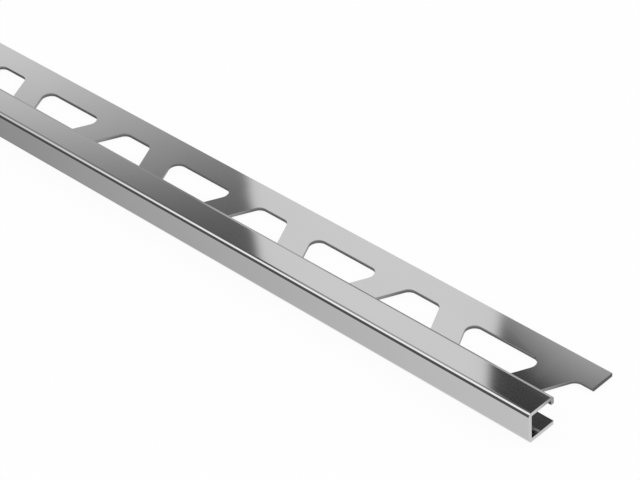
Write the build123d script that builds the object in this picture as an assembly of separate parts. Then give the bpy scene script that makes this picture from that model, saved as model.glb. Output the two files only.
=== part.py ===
from build123d import *
import math
import os

# Square edge trim for tiles: one strip of sheet steel, perforated along one side and then bent
# along its length. It lies on its anchoring leg, with +X along the length, the visible front face
# towards -Y and the visible top face towards +Z. The origin is the middle of its footprint.
# All sizes are in millimetres.

# Outer sizes of the bent strip
LENGTH = 1000.0
TILE_HEIGHT = 10.0
REVEAL_WIDTH = 10.0
LEG_REACH = 34.1
LIP_DROP = 2.8

# The sheet and its bends
SHEET = 1.2
INNER_BEND_RADIUS = 0.1

# Perforations of the anchoring leg: equal trapezoids with rounded corners, every other one turned
# round, so that the webs between them slant alternately left and right
PERFORATION_PITCH = 58.8
LONG_SIDE = 27.7
SHORT_SIDE = 11.4
PERFORATION_DEPTH = 16.4
BACK_STRIP = 7.9
CORNER_RADIUS = 2.9

# The strip is cut to length through the middle of an opening
FIRST_OPENING_FROM_CUT = 0.0


def bent_sheet():
    """The whole strip before it is perforated: leg, front wall, reveal and lip in one section."""
    front = -LEG_REACH / 2
    back = LEG_REACH / 2
    lip_face = front + REVEAL_WIDTH
    outer_radius = INNER_BEND_RADIUS + SHEET
    with BuildPart() as strip:
        with BuildSketch(Plane.YZ.offset(-LENGTH / 2)):
            with BuildLine():
                FilletPolyline(
                    (back, 0),
                    (front, 0),
                    (front, TILE_HEIGHT),
                    (lip_face, TILE_HEIGHT),
                    (lip_face, TILE_HEIGHT - LIP_DROP),
                    radius=outer_radius,
                )
                offset(amount=SHEET, side=Side.RIGHT)
            make_face()
        extrude(amount=LENGTH)
    return strip.part


def opening_outline():
    """Outline of one opening about its own centre, with the long side towards the back."""
    half_depth = PERFORATION_DEPTH / 2
    with BuildSketch() as outline:
        with BuildLine():
            Polyline(
                (-SHORT_SIDE / 2, -half_depth),
                (SHORT_SIDE / 2, -half_depth),
                (LONG_SIDE / 2, half_depth),
                (-LONG_SIDE / 2, half_depth),
                close=True,
            )
        make_face()
        fillet(outline.vertices(), CORNER_RADIUS)
    return outline.sketch


def opening_centres():
    """Places of the openings, from the +X end of the strip to its other end."""
    across = LEG_REACH / 2 - BACK_STRIP - PERFORATION_DEPTH / 2
    step = PERFORATION_PITCH / 2
    reach = LENGTH - FIRST_OPENING_FROM_CUT + LONG_SIDE / 2
    count = math.ceil(reach / step)
    start = LENGTH / 2 - FIRST_OPENING_FROM_CUT
    return [(start - place * step, across) for place in range(count)]


def perforations():
    """Punch tools for all openings, as thick as the leg."""
    long_side_back = opening_outline()
    long_side_front = mirror(long_side_back, about=Plane.XZ)
    outlines = []
    for place, centre in enumerate(opening_centres()):
        outline = long_side_back if place % 2 else long_side_front
        outlines.append(Pos(*centre) * outline)
    return [extrude(outline, SHEET) for outline in outlines]


def edge_trim_profile():
    """The finished trim."""
    return bent_sheet() - perforations()


trim = edge_trim_profile()
trim.label = "edge_trim_profile"
os.makedirs("parts", exist_ok=True)
export_step(trim, "parts/edge_trim_profile.step")
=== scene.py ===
"""Looks of a square edge trim for tiles: its bent, perforated steel strip, its finishes and its studio."""

import math

import bmesh
import bpy
from bpy.props import FloatProperty, FloatVectorProperty, IntProperty, PointerProperty
from bpy.types import Operator, Panel, PropertyGroup
from mathutils import Matrix, Vector


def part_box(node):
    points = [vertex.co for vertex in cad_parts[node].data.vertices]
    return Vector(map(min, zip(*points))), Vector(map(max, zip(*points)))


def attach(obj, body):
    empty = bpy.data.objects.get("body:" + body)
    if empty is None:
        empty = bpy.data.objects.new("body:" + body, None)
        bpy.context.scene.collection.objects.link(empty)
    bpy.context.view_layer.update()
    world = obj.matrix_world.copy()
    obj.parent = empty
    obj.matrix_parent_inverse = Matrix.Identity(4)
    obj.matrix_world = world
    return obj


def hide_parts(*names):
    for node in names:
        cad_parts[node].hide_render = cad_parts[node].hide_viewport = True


bl_info = {
    "name": "Square Edge Trim",
    "version": (1, 0, 0),
    "blender": (4, 5, 0),
    "location": "3D View > Sidebar > Edge Trim",
    "description": "Models a perforated square edge trim of polished steel in a pale studio",
    "category": "Object",
}

CAD_NODE = "edge_trim_profile"
MM = 0.001

# Places of the finishes in the trim's list of materials
POLISHED, CUT, PUNCHED = range(3)

# Two places this close count as one
TOUCHING = 0.001 * MM

# Marks of the finishes per metre along, across and up, and how deep they go
POLISHING_LINES = (30.0, 4000.0, 4000.0)
CLOUDS = (25.0, 60.0, 60.0)
ROLLED_WAVES = (18.0, 90.0, 90.0)
WAVE_DEPTH = 0.002 * MM
SAW_LINES = (300.0, 300.0, 9000.0)
SAW_LINE_DEPTH = 0.001 * MM
PUNCH_STREAKS = (2500.0, 2500.0, 250.0)
STREAK_DEPTH = 0.005 * MM

WHITE = (1.0, 1.0, 1.0)
BLACK = (0.0, 0.0, 0.0)

# Places of sockets in Blender's own nodes for coordinates and for mixing colours
GENERATED, OBJECT = 0, 3
FIRST_COLOUR, SECOND_COLOUR, MIXED_COLOUR = 6, 7, 2

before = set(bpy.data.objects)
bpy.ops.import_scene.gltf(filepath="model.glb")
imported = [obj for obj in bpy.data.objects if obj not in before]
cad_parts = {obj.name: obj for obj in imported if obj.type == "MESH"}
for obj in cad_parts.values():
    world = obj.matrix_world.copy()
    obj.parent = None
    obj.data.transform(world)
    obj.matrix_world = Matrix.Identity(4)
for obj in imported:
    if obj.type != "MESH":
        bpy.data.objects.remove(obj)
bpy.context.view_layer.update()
LOW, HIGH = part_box(CAD_NODE)


class StripSettings(PropertyGroup):
    """Sizes of the bent strip before it is perforated."""

    length: FloatProperty(
        name="Length",
        description="Length of the strip between its two cuts",
        default=HIGH.x - LOW.x,
        unit="LENGTH",
    )
    leg_reach: FloatProperty(
        name="Leg Reach",
        description="From the front face to the back edge of the anchoring leg",
        default=HIGH.y - LOW.y,
        unit="LENGTH",
    )
    tile_height: FloatProperty(
        name="Tile Height",
        description="From the underside of the leg to the visible top",
        default=HIGH.z - LOW.z,
        unit="LENGTH",
    )
    reveal_width: FloatProperty(
        name="Reveal Width",
        description="Width of the visible top, from the front face to the lip",
        default=10.0 * MM,
        unit="LENGTH",
    )
    lip_drop: FloatProperty(
        name="Lip Drop",
        description="How far the lip reaches down from the visible top",
        default=2.8 * MM,
        unit="LENGTH",
    )
    sheet: FloatProperty(
        name="Sheet",
        description="Thickness of the sheet",
        default=1.2 * MM,
        unit="LENGTH",
    )
    inner_bend_radius: FloatProperty(
        name="Inner Bend Radius",
        description="Radius on the inner side of each bend",
        default=0.1 * MM,
        unit="LENGTH",
    )
    bend_steps: IntProperty(
        name="Bend Steps",
        description="Facets in each bend",
        default=12,
        min=2,
    )
    lip_rounding: FloatProperty(
        name="Lip Rounding",
        description="Radius on both sides of the lip's lower edge",
        default=0.28 * MM,
        unit="LENGTH",
    )


class OpeningSettings(PropertyGroup):
    """Sizes of the openings punched in the anchoring leg."""

    pitch: FloatProperty(
        name="Pitch",
        description="Distance between two openings that are turned the same way",
        default=58.8 * MM,
        unit="LENGTH",
    )
    long_side: FloatProperty(
        name="Long Side",
        description="Long side of an opening, corner to corner before rounding",
        default=27.7 * MM,
        unit="LENGTH",
    )
    short_side: FloatProperty(
        name="Short Side",
        description="Short side of an opening, corner to corner before rounding",
        default=11.4 * MM,
        unit="LENGTH",
    )
    depth: FloatProperty(
        name="Depth",
        description="Depth of an opening across the leg",
        default=16.4 * MM,
        unit="LENGTH",
    )
    back_strip: FloatProperty(
        name="Back Strip",
        description="Width of the strip behind the openings",
        default=7.9 * MM,
        unit="LENGTH",
    )
    corner_radius: FloatProperty(
        name="Corner Radius",
        description="Radius of the openings' corners",
        default=2.9 * MM,
        unit="LENGTH",
    )
    corner_steps: IntProperty(
        name="Corner Steps",
        description="Facets that a whole circle of the corner radius would have",
        default=56,
        min=8,
    )
    flare: FloatProperty(
        name="Flare",
        description="How much narrower an opening is at its top than at the underside, on each side",
        default=0.15 * MM,
        unit="LENGTH",
    )
    edge_rounding: FloatProperty(
        name="Edge Rounding",
        description="Width of the rounding on punched and cut edges",
        default=0.07 * MM,
        unit="LENGTH",
    )


class SteelSettings(PropertyGroup):
    """Colours and finishes of the steel."""

    polished: FloatVectorProperty(
        name="Polished Steel",
        description="Colour of the polished faces",
        subtype="COLOR",
        size=3,
        default=(0.6, 0.6, 0.6),
        min=0.0,
        max=1.0,
    )
    polished_roughness: FloatProperty(
        name="Polished Roughness",
        description="Roughness of the polished faces",
        default=0.04,
        min=0.0,
        max=1.0,
    )
    # Colour of the painted shade on the cut ends towards the lip
    shaded_cut: FloatVectorProperty(
        name="Shaded Cut",
        description="Colour of the cut faces at the lip",
        subtype="COLOR",
        size=3,
        default=(0.3, 0.3, 0.3),
        min=0.0,
        max=1.0,
    )
    # The leg's sawn ends take this dark colour, dimmed further, as painted shade
    punched: FloatVectorProperty(
        name="Punched Steel",
        description="Colour of the openings' walls and of the leg's sawn ends",
        subtype="COLOR",
        size=3,
        default=(0.15, 0.15, 0.15),
        min=0.0,
        max=1.0,
    )
    punched_roughness: FloatProperty(
        name="Punched Roughness",
        description="Roughness of the openings' walls and of the leg's sawn ends",
        default=0.5,
        min=0.0,
        max=1.0,
    )
    torn_brightness: FloatProperty(
        name="Torn Brightness",
        description="Brightness of a wall's lower part, where the sheet tore, against the punched steel",
        default=1.05,
        min=0.0,
    )
    burnished_brightness: FloatProperty(
        name="Burnished Brightness",
        description="Brightness of the band where the punch slid, against the punched steel",
        default=1.75,
        min=0.0,
    )
    # Painted light: the walls towards the lip are drawn paler
    near_wall_painted_light: FloatProperty(
        name="Near Wall Brightness",
        description="Brightness of the walls towards the lip, against the punched steel",
        default=2.1,
        min=0.0,
    )
    # Painted shade on the leg's sawn ends
    sawn_end_painted_shade: FloatProperty(
        name="Sawn Brightness",
        description="Brightness of the leg's sawn ends, against the punched steel",
        default=0.8,
        min=0.0,
    )


class StudioSettings(PropertyGroup):
    """Place of the camera and light of the studio."""

    azimuth: FloatProperty(
        name="Azimuth",
        description="Heading of the camera round the trim",
        default=math.radians(46.74),
        unit="ROTATION",
    )
    elevation: FloatProperty(
        name="Elevation",
        description="Elevation of the camera above the horizon",
        default=math.radians(37.82),
        unit="ROTATION",
    )
    roll: FloatProperty(
        name="Roll",
        description="Turn of the camera about its own axis",
        default=math.radians(-4.36),
        unit="ROTATION",
    )
    lens: FloatProperty(
        name="Focal Length",
        description="Focal length of the camera in millimetres",
        default=128.31,
    )
    camera_offset: FloatVectorProperty(
        name="Camera Offset",
        description="Place of the camera from the near front corner of the trim",
        subtype="XYZ",
        unit="LENGTH",
        size=3,
        default=(275.58 * MM, -326.71 * MM, 400.37 * MM),
    )
    floor_radius: FloatProperty(
        name="Floor Radius",
        description="Radius of the floor",
        default=30.0,
        unit="LENGTH",
    )
    floor_white: FloatProperty(
        name="Floor White",
        description="How far the floor is seen as plain white, from 0 to 1; the rest keeps its shadow",
        default=0.92,
        min=0.0,
        max=1.0,
    )
    panel_left: FloatProperty(
        name="Panel Left",
        description="Heading of the left side of the tall panel at the back, in degrees from +X",
        default=138.8,
    )
    panel_right: FloatProperty(
        name="Panel Right",
        description="Heading of the panel's right side at 40 degrees up, in degrees from +X",
        default=131.04,
    )
    panel_light: FloatProperty(
        name="Panel Light",
        description="Light of the panel, where 1 is white",
        default=0.96,
        min=0.0,
    )
    lamp_light: FloatProperty(
        name="Lamp Light",
        description="Light of the lamp box at its far end, where 1 is white",
        default=0.9,
        min=0.0,
    )


class Socket:
    """A socket's value; an expression on it adds Math nodes."""

    def __init__(self, graph, link):
        self.graph = graph
        self.link = link

    def maths(self, operation, *values):
        return self.graph.node("ShaderNodeMath", {"operation": operation}, dict(enumerate(values)))

    def __add__(self, other):
        return self.maths("ADD", self, other)

    def __radd__(self, other):
        return self.maths("ADD", other, self)

    def __sub__(self, other):
        return self.maths("SUBTRACT", self, other)

    def __rsub__(self, other):
        return self.maths("SUBTRACT", other, self)

    def __mul__(self, other):
        return self.maths("MULTIPLY", self, other)

    def __rmul__(self, other):
        return self.maths("MULTIPLY", other, self)

    def __truediv__(self, other):
        return self.maths("DIVIDE", self, other)

    def at_least(self, other):
        return self.maths("MAXIMUM", self, other)

    def at_most(self, other):
        return self.maths("MINIMUM", self, other)

    def __abs__(self):
        return self.maths("ABSOLUTE", self)

    def apply(self, operation):
        return self.maths(operation, self)

    def degrees(self):
        return self.maths("DEGREES", self)

    def rise(self, start, end):
        """0 below start and 1 above end, with a smooth step between them."""
        return self.graph.node(
            "ShaderNodeMapRange",
            {"interpolation_type": "SMOOTHSTEP"},
            {"Value": self, "From Min": start, "From Max": end},
        )

    def fall(self, start, end):
        """1 below start and 0 above end, with a smooth step between them."""
        return 1.0 - self.rise(start, end)

    def clamp(self, low, high):
        return self.at_least(low).at_most(high)

    def spread(self, start, end):
        """The value from 0 to 1 spread from start to end."""
        sockets = {"Value": self, "To Min": start, "To Max": end}
        return self.graph.node("ShaderNodeMapRange", {}, sockets)


def blend(mask, first, second):
    """The first value where the mask is 0, and the second where it is 1."""
    return first + mask * (second - first)


class Graph:
    """The nodes of one material or of the world."""

    def __init__(self, tree):
        self.tree = tree
        tree.nodes.clear()

    def node(self, kind, settings=None, sockets=None, output=0):
        """Adds a node, with its settings set first and then the values or links of its sockets."""
        made = self.tree.nodes.new(kind)
        for name, value in (settings or {}).items():
            setattr(made, name, value)
        for name, value in (sockets or {}).items():
            if isinstance(value, Socket):
                self.tree.links.new(value.link, made.inputs[name])
            else:
                made.inputs[name].default_value = value
        return Socket(self, made.outputs[output]) if made.outputs else None

    def parts(self, vector):
        """The three numbers of a vector."""
        made = self.node("ShaderNodeSeparateXYZ", {}, {"Vector": vector}).link.node
        return [Socket(self, out) for out in made.outputs]

    def mix(self, factor, first, second):
        """A colour between two colours."""
        sockets = {"Factor": factor, FIRST_COLOUR: first, SECOND_COLOUR: second}
        return self.node("ShaderNodeMix", {"data_type": "RGBA"}, sockets, output=MIXED_COLOUR)

    def object_place(self):
        """Object coordinates."""
        return self.node("ShaderNodeTexCoord", output=OBJECT)

    def noise(self, marks, detail):
        """Noise with that many marks per metre along each axis of the object."""
        place = self.node("ShaderNodeMapping", {}, {"Vector": self.object_place(), "Scale": marks})
        return self.node("ShaderNodeTexNoise", {}, {"Vector": place, "Scale": 1.0, "Detail": detail})

    def bump(self, depth, height, strength=1.0):
        """A bump of that depth, for the Normal of a shader."""
        sockets = {"Strength": strength, "Distance": depth, "Height": height}
        return self.node("ShaderNodeBump", {}, sockets)


def new_material(name):
    material = bpy.data.materials.new(name)
    material.use_nodes = True
    return material, Graph(material.node_tree)


def finish_surface(graph, shader):
    graph.node("ShaderNodeOutputMaterial", {}, {"Surface": shader})


def shade(colour, brightness=1.0):
    """A colour at that brightness, with its alpha."""
    return (*[brightness * part for part in colour], 1.0)


def steel_shader(graph, tint, roughness, bump, metallic=1.0):
    return graph.node(
        "ShaderNodeBsdfPrincipled",
        {},
        {"Base Color": tint, "Metallic": metallic, "Roughness": roughness, "Normal": bump},
    )


def channel_film(graph, strip):
    """1 on the faces inside the channel, where a thin film of dust is left, and 0 on all others."""
    _, across, up = graph.parts(graph.object_place())
    sheet = strip.sheet
    front = -strip.leg_reach / 2
    lip = front + strip.reveal_width
    top = strip.tile_height
    behind_front = across.rise(front + 0.4 * sheet, front + 0.6 * sheet)
    before_lip = across.fall(lip - sheet, lip + 0.5 * sheet)
    over_leg = up.rise(0.7 * sheet, 0.9 * sheet)
    under_top = up.fall(top - 0.8 * sheet, top - 0.5 * sheet)
    return behind_front * before_lip * over_leg * under_top


def polished_steel(steel, strip):
    """Bright polished sheet: fine polishing lines along the strip over a slightly wavy rolled face."""
    material, graph = new_material("polished_steel")
    lines = graph.noise(POLISHING_LINES, detail=3.0)
    cloud = graph.noise(CLOUDS, detail=2.0)
    wave = graph.noise(ROLLED_WAVES, detail=1.0)
    tint = graph.mix(cloud, shade(steel.polished, 0.97), shade(steel.polished, 1.03))
    roughness = steel.polished_roughness * lines.spread(0.7, 1.3) * cloud.spread(0.9, 1.1)
    bump = graph.bump(WAVE_DEPTH, wave + 0.02 * lines)
    metallic = 1.0 - 0.05 * channel_film(graph, strip) * cloud
    finish_surface(graph, steel_shader(graph, tint, roughness, bump, metallic))
    return material


def cut_steel(steel, strip):
    """The channel's cut ends and the strip's long edges: fine saw lines, and painted shade that darkens
    them towards the lip.
    """
    material, graph = new_material("cut_steel")
    _, across, up = graph.parts(graph.object_place())
    front = -strip.leg_reach / 2
    # Painted shade: the cut ends darken towards the lip and towards the top
    lip_shade = across.rise(front + 0.3 * strip.reveal_width, front + 0.9 * strip.reveal_width)
    lip_shade = lip_shade * up.rise(0.4 * strip.tile_height, 0.6 * strip.tile_height)
    lines = graph.noise(SAW_LINES, detail=2.0)
    tint = graph.mix(lip_shade, shade(steel.polished), shade(steel.shaded_cut))
    tint = graph.mix(0.08 * lines, tint, shade(BLACK))
    roughness = 2.0 * steel.polished_roughness * lines.spread(0.7, 1.3)
    bump = graph.bump(SAW_LINE_DEPTH, lines)
    finish_surface(graph, steel_shader(graph, tint, roughness, bump))
    return material


def punched_steel(steel, strip, opening):
    """Walls of the openings, burnished above and torn below, with painted light on the walls towards the
    lip, and the leg's sawn ends darkened by painted shade.
    """
    material, graph = new_material("punched_steel")
    along, across, up = graph.parts(graph.object_place())
    near = strip.leg_reach / 2 - opening.back_strip - opening.depth
    end = strip.length / 2
    sawn = abs(along).rise(end - 0.1 * MM, end - 0.05 * MM)
    punched = 1.0 - sawn
    # Painted light: the walls turn paler towards the lip
    painted_light_towards_lip = across.fall(near + 0.5 * opening.depth, near + 0.9 * opening.depth)
    streaks = graph.noise(PUNCH_STREAKS, detail=3.0)
    ragged = up + 0.2 * strip.sheet * streaks
    burnished = ragged.rise(0.75 * strip.sheet, 0.9 * strip.sheet) * punched
    torn_tint = shade(steel.punched, steel.torn_brightness)
    burnished_tint = shade(steel.punched, steel.burnished_brightness)
    tint = graph.mix(burnished, torn_tint, burnished_tint)
    tint = graph.mix(painted_light_towards_lip * punched, tint, shade(steel.punched, steel.near_wall_painted_light))
    # Painted shade: the leg's sawn ends are drawn darker
    tint = graph.mix(sawn, tint, shade(steel.punched, steel.sawn_end_painted_shade))
    roughness = steel.punched_roughness * (1.1 - 0.4 * burnished) * streaks.spread(0.85, 1.15)
    bump = graph.bump(STREAK_DEPTH, streaks, strength=0.5)
    finish_surface(graph, steel_shader(graph, tint, roughness, bump))
    return material


def deselect():
    bpy.ops.object.select_all(action="DESELECT")


def select_edges(piece, test):
    """Selects the edges of the piece in edit mode that pass the test, and nothing else."""
    bpy.ops.mesh.select_mode(type="EDGE")
    bpy.ops.mesh.select_all(action="DESELECT")
    mesh = bmesh.from_edit_mesh(piece.data)
    for edge in mesh.edges:
        if test(edge):
            edge.select_set(True)
    mesh.select_flush_mode()
    bmesh.update_edit_mesh(piece.data)


def lies_on(edge, axis, value):
    """Whether both ends of an edge lie at that value of one axis."""
    return all(abs(end.co[axis] - value) < TOUCHING for end in edge.verts)


def apply_modifier(piece, kind, settings):
    """Adds a modifier with its settings and applies it."""
    bpy.context.view_layer.objects.active = piece
    bpy.ops.object.modifier_add(type=kind)
    modifier = piece.modifiers[-1]
    for name, value in settings.items():
        setattr(modifier, name, value)
    bpy.ops.object.modifier_apply(modifier=modifier.name)


def opening_places(strip, opening):
    """Places of the openings from the +X end, each with whether its long side is at the back."""
    step = opening.pitch / 2
    count = math.ceil((strip.length + opening.long_side / 2) / step)
    return [(strip.length / 2 - place * step, place % 2 == 1) for place in range(count)]


def add_bent_sheet(strip, opening, finishes):
    """The strip's outer side as a plane, folded and bent, and then given the sheet's thickness."""
    front = -strip.leg_reach / 2
    lip_face = front + strip.reveal_width
    top = strip.tile_height
    deselect()
    bpy.ops.mesh.primitive_plane_add(size=1.0, location=(0.0, 0.0, 0.0))
    piece = bpy.context.object
    bpy.ops.object.mode_set(mode="EDIT")
    bpy.ops.transform.resize(value=(strip.length, strip.leg_reach, 1.0))
    select_edges(piece, lambda edge: lies_on(edge, 1, front))
    for move in ((0.0, 0.0, top), (0.0, strip.reveal_width, 0.0), (0.0, 0.0, -strip.lip_drop)):
        bpy.ops.mesh.extrude_edges_move(TRANSFORM_OT_translate={"value": move})
    bpy.ops.mesh.select_all(action="SELECT")
    bpy.ops.mesh.flip_normals()
    for place, _ in opening_places(strip, opening):
        middle = place - opening.pitch / 4
        if abs(middle) < strip.length / 2:
            bpy.ops.mesh.select_all(action="SELECT")
            bpy.ops.mesh.bisect(plane_co=(middle, 0.0, 0.0), plane_no=(1.0, 0.0, 0.0))

    def is_fold(edge):
        corners = ((front, 0.0), (front, top), (lip_face, top))
        return any(lies_on(edge, 1, y) and lies_on(edge, 2, z) for y, z in corners)

    select_edges(piece, is_fold)
    bpy.ops.mesh.bevel(
        offset_type="OFFSET",
        offset=strip.inner_bend_radius + strip.sheet,
        segments=strip.bend_steps,
        profile=0.5,
        affect="EDGES",
    )
    bpy.ops.object.mode_set(mode="OBJECT")
    for finish in finishes:
        piece.data.materials.append(finish)
    apply_modifier(
        piece,
        "SOLIDIFY",
        {
            "thickness": strip.sheet,
            "offset": -1.0,
            "use_even_offset": True,
            "use_quality_normals": True,
            "material_offset_rim": CUT,
        },
    )
    round_lip(piece, strip)
    return piece


def round_lip(piece, strip):
    """Rounds the lip's lower edge on both sides of the sheet."""
    outer = strip.reveal_width - strip.leg_reach / 2
    foot = strip.tile_height - strip.lip_drop

    def is_lip_edge(edge):
        on_a_side = lies_on(edge, 1, outer) or lies_on(edge, 1, outer - strip.sheet)
        return on_a_side and lies_on(edge, 2, foot)

    bpy.context.view_layer.objects.active = piece
    bpy.ops.object.mode_set(mode="EDIT")
    select_edges(piece, is_lip_edge)
    bpy.ops.mesh.bevel(
        offset_type="OFFSET",
        offset=strip.lip_rounding,
        segments=4,
        profile=0.5,
        affect="EDGES",
        material=CUT,
    )
    bpy.ops.object.mode_set(mode="OBJECT")


def add_punch(strip, opening):
    """A punch for an opening with its long side at the back: the hull of four pins that taper upwards."""
    sheets_below, sheets_above = 1.5, 2.5
    side = (opening.long_side - opening.short_side) / 2
    slant = math.atan2(side, opening.depth)
    radius = opening.corner_radius
    row = opening.depth / 2 - radius
    reach_back = opening.long_side / 2 - side / opening.depth * radius - radius / math.cos(slant)
    reach_front = opening.short_side / 2 + side / opening.depth * radius - radius / math.cos(slant)
    corners = ((-reach_front, -row), (reach_front, -row), (reach_back, row), (-reach_back, row))
    deselect()
    bpy.ops.mesh.primitive_cone_add(
        vertices=opening.corner_steps,
        radius1=radius + sheets_below * opening.flare,
        radius2=radius - sheets_above * opening.flare,
        depth=(sheets_below + sheets_above) * strip.sheet,
        location=(0.0, 0.0, 0.0),
    )
    punch = bpy.context.object
    bpy.ops.object.mode_set(mode="EDIT")
    middle = (sheets_above - sheets_below) / 2 * strip.sheet
    bpy.ops.transform.translate(value=(*corners[0], middle))
    for last, corner in zip(corners, corners[1:]):
        step = (corner[0] - last[0], corner[1] - last[1], 0.0)
        bpy.ops.mesh.duplicate_move(TRANSFORM_OT_translate={"value": step})
    bpy.ops.mesh.select_all(action="SELECT")
    bpy.ops.mesh.convex_hull()
    bpy.ops.mesh.select_all(action="SELECT")
    bpy.ops.mesh.normals_make_consistent(inside=False)
    bpy.ops.object.mode_set(mode="OBJECT")
    return punch


def add_punches(strip, opening, material):
    """A row of punches, one for each opening, joined to one mesh."""
    across = strip.leg_reach / 2 - opening.back_strip - opening.depth / 2
    first = add_punch(strip, opening)
    first.data.materials.append(material)
    row = []
    for place, long_side_back in opening_places(strip, opening):
        copy = first.copy()
        copy.data = first.data.copy()
        turn = 0.0 if long_side_back else math.pi
        copy.matrix_world = Matrix.Translation((place, across, 0.0)) @ Matrix.Rotation(turn, 4, "Z")
        bpy.context.collection.objects.link(copy)
        row.append(copy)
    bpy.data.objects.remove(first)
    deselect()
    for copy in row:
        copy.select_set(True)
    bpy.context.view_layer.objects.active = row[0]
    bpy.ops.object.join()
    bpy.ops.object.transform_apply(location=True, rotation=True, scale=True)
    return bpy.context.object


def finish_edges(piece, strip, opening):
    """Gives the channel's ends and the long edges the cut finish, and the leg's ends the dark punched one
    as painted shade.
    """
    margin = 2 * opening.edge_rounding
    back = strip.leg_reach / 2
    leg_front = back - opening.back_strip - opening.depth + margin
    for face in piece.data.polygons:
        across, up = face.center.y, face.center.z
        at_end = abs(face.center.x) > strip.length / 2 - margin
        at_long_edge = up > strip.sheet + margin or across > back - margin
        if face.material_index == PUNCHED and (at_long_edge or at_end and across < leg_front):
            face.material_index = CUT
        if face.material_index == CUT and at_end and not at_long_edge and across > leg_front:
            face.material_index = PUNCHED


class EDGETRIM_OT_profile(Operator):
    """Models the trim: one strip of sheet, bent along its length and perforated along its leg"""

    bl_idname = "edgetrim.profile"
    bl_label = "Trim Profile"

    def execute(self, context):
        strip = context.scene.edge_trim_strip
        opening = context.scene.edge_trim_opening
        steel = context.scene.edge_trim_steel
        finishes = (
            polished_steel(steel, strip),
            cut_steel(steel, strip),
            punched_steel(steel, strip, opening),
        )
        piece = add_bent_sheet(strip, opening, finishes)
        piece.name = "trim_profile"
        piece.data.name = "trim_profile"
        punches = add_punches(strip, opening, finishes[PUNCHED])
        deselect()
        piece.select_set(True)
        apply_modifier(
            piece,
            "BOOLEAN",
            {
                "operation": "DIFFERENCE",
                "solver": "EXACT",
                "object": punches,
                "material_mode": "TRANSFER",
            },
        )
        bpy.data.objects.remove(punches)
        apply_modifier(
            piece,
            "BEVEL",
            {
                "width": opening.edge_rounding,
                "segments": 3,
                "limit_method": "ANGLE",
                "angle_limit": math.radians(50.0),
                "miter_outer": "MITER_ARC",
                "material": PUNCHED,
            },
        )
        finish_edges(piece, strip, opening)
        bpy.ops.object.shade_smooth_by_angle(angle=math.radians(40.0))
        weighting = {"mode": "FACE_AREA", "weight": 100, "keep_sharp": True}
        apply_modifier(piece, "WEIGHTED_NORMAL", weighting)
        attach(piece, "root")
        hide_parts(CAD_NODE)
        return {"FINISHED"}


class Sky:
    """A direction that light comes from.

    Elevation and heading are in degrees, from the horizon and round from +X. The trim's long faces
    mirror a view ray without a change of its x, so x goes with the place along the trim: in the main
    view it falls from about -0.47 at the near end to -0.7 where the picture cuts the trim off.
    """

    def __init__(self, graph):
        direction = graph.node("ShaderNodeTexCoord", output=GENERATED)
        self.x, self.y, self.z = graph.parts(direction)
        self.level = (self.x * self.x + self.y * self.y).apply("SQRT").at_least(0.0001)
        self.elevation = self.z.apply("ARCSINE").degrees()
        self.heading = self.y.maths("ARCTAN2", self.y, self.x).degrees()

    def turn_from(self, heading):
        """Angle in plan between the direction and a heading, from 0 to 180."""
        east, north = math.cos(math.radians(heading)), math.sin(math.radians(heading))
        cosine = (self.x * east + self.y * north) / self.level
        return cosine.at_most(1.0).at_least(-1.0).apply("ARCCOSINE").degrees()


def back_panel(sky, studio):
    """Tall panel at the back, which the top and the leg mirror."""
    foot, head, softness = (28.0, 32.0), (46.0, 48.0), 0.2
    # The right side slants, and the left one has a small step and a short slant above it
    right_slant, left_slant, step = 0.3, 0.19, 0.09
    right_edge = studio.panel_right + right_slant * (sky.elevation - 40.0)
    left_edge = studio.panel_left - step * sky.elevation.rise(36.6, 37.4)
    left_edge = left_edge + left_slant * (sky.elevation - 37.6).clamp(0.0, 0.6)
    inside_right = (sky.heading - right_edge).rise(-softness, softness)
    inside_left = (left_edge - sky.heading).rise(-softness, softness)
    upright = sky.elevation.rise(*foot) * sky.elevation.fall(*head)

    # It stops short of the near end, and further along its lower corner is missing
    near_stop, corner_side, corner_top = (-0.492, -0.484), (-0.622, -0.615), (33.5, 35.5)
    missing_corner = sky.x.fall(*corner_side) * sky.elevation.fall(*corner_top)
    panel = inside_right * inside_left * upright * sky.x.fall(*near_stop)
    return panel * (1.0 - missing_corner)


def left_end_glow(sky):
    """Low glow on the left, which fades along the trim to an even light."""
    even_light, fade, fade_end = 0.24, 6.2, -0.614
    return (even_light - fade * (sky.x - fade_end)).at_least(even_light)


def left_glow(sky):
    """Glow to the left of the panel, which fades upwards, with the low glow under it."""
    brightest, dimmest, slant = 0.98, 0.15, 0.1
    rim = sky.elevation - slant * (sky.heading - 140.0).clamp(-5.0, 5.0)
    glow = blend(rim.rise(30.3, 38.0), brightest, dimmest)
    # The low glow's upper edge sinks towards the far end
    sinking = 44.6
    foot = (sky.elevation - sinking * sky.x).fall(61.0, 63.0)
    return blend(foot, glow, left_end_glow(sky).at_most(brightest))


def right_glow(sky):
    """Glow to the right of the panel, which fades upwards past a curved and slanting rim."""
    slant, curve = 0.62, 0.1
    turn = (sky.heading - 129.4).clamp(-3.0, 3.0)
    rim = sky.elevation + slant * turn + curve * (turn * turn)
    brightest, at_rim, fade = 0.8, 0.46, 0.275
    dimmest = 0.072 - 0.03 * sky.elevation.rise(42.3, 42.8)
    return (at_rim - fade * (rim - 40.6)).at_most(brightest).at_least(dimmest)


def side_glow(sky):
    """Glow on both sides of the panel."""
    to_the_right = sky.heading.fall(134.0, 136.0) * sky.heading.rise(-90.0, 0.0)
    return blend(to_the_right, left_glow(sky), right_glow(sky))


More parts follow.
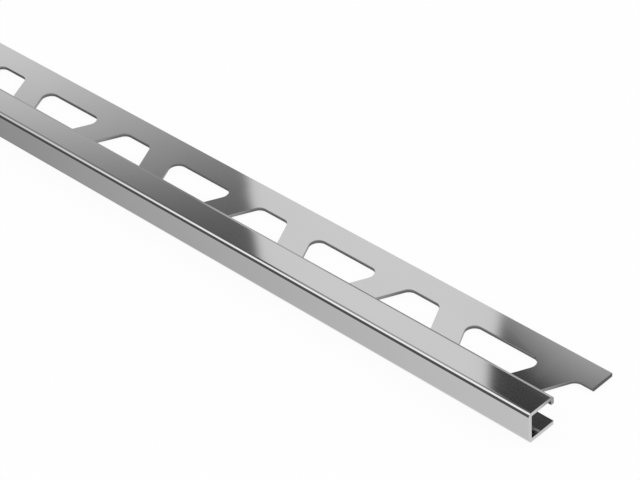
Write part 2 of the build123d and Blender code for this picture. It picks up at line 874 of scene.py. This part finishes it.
def high_glow(sky):
    """Soft light between the panel and the lamp box, which the front bend mirrors."""
    far = 0.15 + 0.33 * sky.x.fall(-0.7, -0.6) + 0.1 * sky.x.fall(-0.68, -0.65)
    far = far * sky.x.fall(-0.6, -0.49)
    middle = 0.33 * sky.x.rise(-0.588, -0.57) + 0.15 * sky.x.rise(-0.555, -0.53)
    middle = middle * sky.x.fall(-0.497, -0.488)
    return (far + middle) * sky.elevation.rise(40.0, 46.0)


def low_band(sky):
    """Low light behind the trim in steps along it, which the lip's bend mirrors."""
    brightest_left = 0.52
    light = left_end_glow(sky).at_most(brightest_left) + 0.29 * sky.x.rise(-0.621, -0.613)
    light = light - 0.17 * sky.x.rise(-0.575, -0.56) + 0.2 * sky.x.rise(-0.505, -0.49)
    return light + 0.35 * sky.x.rise(-0.475, -0.46)


def lamp_box(sky):
    """Long lamp box overhead and in front of the trim, with its edges given per unit of height."""
    front, back, end = (-1.3, -1.17), (-0.2, -0.08), (2.0, 2.4)
    height = sky.z.at_least(0.02)
    along = sky.x / height
    across = sky.y / height
    box = across.rise(*front) * across.fall(*back) * abs(along).fall(*end)
    return box * sky.z.rise(0.1, 0.2)


def even_sky(sky):
    """Light from all round, dimmer overhead, with a ring of soft panels that the polished faces mirror."""
    at_horizon, overhead = 0.78, 0.48
    light = blend(sky.elevation.rise(5.0, 85.0), at_horizon, overhead) + 0.1 * sky.x - 0.06 * sky.y

    # The panels stand out from that light, and the gaps between them are dimmer
    panels_round, slant, gap_light, panel_light = 12, 0.3, -0.27, 0.23
    leaning = sky.heading + slant * (sky.elevation - 30.0)
    panels = (math.radians(panels_round) * leaning).apply("SINE").rise(-0.7, 0.7)
    ring = sky.elevation.rise(10.0, 18.0) * sky.elevation.fall(55.0, 68.0)
    light = light + ring * blend(panels, gap_light, panel_light)

    # Overhead it is brighter towards +X
    contrast = 0.15
    ceiling = sky.elevation.rise(60.0, 72.0)
    return light + ceiling * blend(sky.x.rise(-0.12, 0.12), -contrast, contrast)


def pale_floor_light(sky, past_screen):
    """Light from the pale floor, dim towards one side and at the foot of the dark screen."""
    brightest, dimming, screen_light = 0.95, 0.8, 0.12
    # A soft dim patch, down to about a third of its depth at dim_reach degrees from its heading
    dim_heading, dim_reach = -160.0, 21.33
    bearing = sky.turn_from(dim_heading)
    dim_side = (-1.0 * (bearing * bearing) / dim_reach**2).apply("EXPONENT")
    pale = brightest - dimming * dim_side * sky.elevation.rise(-50.0, -42.0)
    before_screen = sky.elevation.fall(-29.0, -20.0)
    return pale * blend(before_screen, past_screen, 1.0).at_least(screen_light)


def mirrored_light(sky, studio):
    """Light that the polished faces mirror, by direction, so that both ends of the trim see the same."""
    # A dark screen stands in front of the trim, to the left
    screen_heading, screen_side, screen_light, darkest = -132.0, (22.0, 34.0), 0.12, 0.05
    past_screen = sky.turn_from(screen_heading).rise(*screen_side)
    glow = (side_glow(sky) * past_screen).at_least(darkest).at_least(high_glow(sky))
    glow = glow.at_least(screen_light * (1.0 - past_screen))
    near_gain = 0.47
    lamp_light = studio.lamp_light + near_gain * sky.x.rise(-0.7, -0.6)
    above = blend(back_panel(sky, studio), glow, studio.panel_light)
    above = blend(lamp_box(sky), above, lamp_light)

    # An even sky lies round the side that the trim mirrors to the camera
    lit_side = sky.x.rise(-0.8, -0.72) * sky.x.fall(-0.42, -0.34) * sky.elevation.fall(65.0, 71.0)
    above = blend(lit_side, even_sky(sky), above)
    light = blend(sky.elevation.rise(-2.0, 0.0), pale_floor_light(sky, past_screen), above)

    # A low band of light stands behind the trim, across the horizon
    band_heading, band_side, band_foot, band_top = 132.0, (14.0, 24.0), (-36.0, -30.0), (22.0, 30.0)
    behind = sky.turn_from(band_heading).fall(*band_side) * sky.elevation.fall(*band_top)
    behind = behind * sky.elevation.rise(*band_foot)
    return blend(behind, light, low_band(sky))


def studio_world(studio):
    """A world that the camera sees white, that lights matt faces evenly and that the steel mirrors."""
    world = bpy.data.worlds.new("studio")
    bpy.context.scene.world = world
    world.use_nodes = True
    graph = Graph(world.node_tree)
    ray = graph.node("ShaderNodeLightPath").link.node
    camera = Socket(graph, ray.outputs["Is Camera Ray"])
    diffuse = Socket(graph, ray.outputs["Is Diffuse Ray"])
    strength = blend(diffuse, mirrored_light(Sky(graph), studio), 1.0)
    strength = blend(camera, strength, 1.0)
    shader = graph.node("ShaderNodeBackground", {}, {"Color": shade(WHITE), "Strength": strength})
    graph.node("ShaderNodeOutputWorld", {}, {"Surface": shader})


def floor_material(studio):
    """Pale floor that the camera sees white, with the trim's shadow left in it."""
    material, graph = new_material("pale_floor")
    ray = graph.node("ShaderNodeLightPath").link.node
    bright = Socket(graph, ray.outputs["Is Camera Ray"])
    bright = bright.at_least(Socket(graph, ray.outputs["Is Glossy Ray"]))
    bright = bright.at_least(Socket(graph, ray.outputs["Is Transmission Ray"]))
    matt = graph.node("ShaderNodeBsdfDiffuse", {}, {"Color": shade(WHITE, 0.95)})
    white = graph.node("ShaderNodeEmission", {}, {"Color": shade(WHITE), "Strength": 1.0})
    mixed = graph.node("ShaderNodeMixShader", {}, {0: studio.floor_white * bright, 1: matt, 2: white})
    finish_surface(graph, mixed)
    return material


def add_floor(studio):
    """A round floor, a hair below the trim so that the two don't share a face."""
    below = 0.02 * MM
    deselect()
    bpy.ops.mesh.primitive_circle_add(
        vertices=96,
        radius=studio.floor_radius,
        fill_type="NGON",
        location=(0.0, 0.0, LOW.z - below),
    )
    floor = bpy.context.object
    floor.name = "floor"
    floor.data.materials.append(floor_material(studio))
    floor.visible_glossy = False


def add_camera(studio):
    """A camera that stands off the near front corner of the trim."""
    deselect()
    corner = Vector((HIGH.x, LOW.y, LOW.z))
    bpy.ops.object.camera_add(location=corner + Vector(studio.camera_offset))
    camera = bpy.context.object
    camera.name = "camera"
    heading = Matrix.Rotation(studio.azimuth, 4, "Z")
    tilt = Matrix.Rotation(math.pi / 2 - studio.elevation, 4, "X")
    roll = Matrix.Rotation(studio.roll, 4, "Z")
    camera.rotation_euler = (heading @ tilt @ roll).to_euler()
    camera.data.sensor_fit = "HORIZONTAL"
    camera.data.sensor_width = 36.0
    camera.data.lens = studio.lens
    camera.data.clip_start = 10 * MM
    camera.data.clip_end = 100.0
    bpy.context.scene.camera = camera


class EDGETRIM_OT_studio(Operator):
    """Sets the pale floor, the studio light and the camera"""

    bl_idname = "edgetrim.studio"
    bl_label = "Studio"

    def execute(self, context):
        studio = context.scene.edge_trim_studio
        add_floor(studio)
        studio_world(studio)
        add_camera(studio)
        context.scene.view_settings.view_transform = "Standard"
        return {"FINISHED"}


class EDGETRIM_PT_sidebar(Panel):
    """Lists the operators and sizes of the edge trim"""

    bl_idname = "EDGETRIM_PT_sidebar"
    bl_label = "Edge Trim"
    bl_space_type = "VIEW_3D"
    bl_region_type = "UI"
    bl_category = "Edge Trim"

    def draw(self, context):
        for operator in (EDGETRIM_OT_profile, EDGETRIM_OT_studio):
            self.layout.operator(operator.bl_idname)
        for name in SETTINGS:
            settings = getattr(context.scene, name)
            box = self.layout.box()
            for key in settings.bl_rna.properties.keys():
                if key not in ("rna_type", "name"):
                    box.prop(settings, key)


SETTINGS = {
    "edge_trim_strip": StripSettings,
    "edge_trim_opening": OpeningSettings,
    "edge_trim_steel": SteelSettings,
    "edge_trim_studio": StudioSettings,
}
CLASSES = (*SETTINGS.values(), EDGETRIM_OT_profile, EDGETRIM_OT_studio, EDGETRIM_PT_sidebar)


def register():
    for cls in CLASSES:
        bpy.utils.register_class(cls)
    for name, cls in SETTINGS.items():
        setattr(bpy.types.Scene, name, PointerProperty(type=cls))


def unregister():
    for name in SETTINGS:
        delattr(bpy.types.Scene, name)
    for cls in reversed(CLASSES):
        bpy.utils.unregister_class(cls)


def main():
    register()
    bpy.ops.edgetrim.profile()
    bpy.ops.edgetrim.studio()


if __name__ == "__main__":
    main()
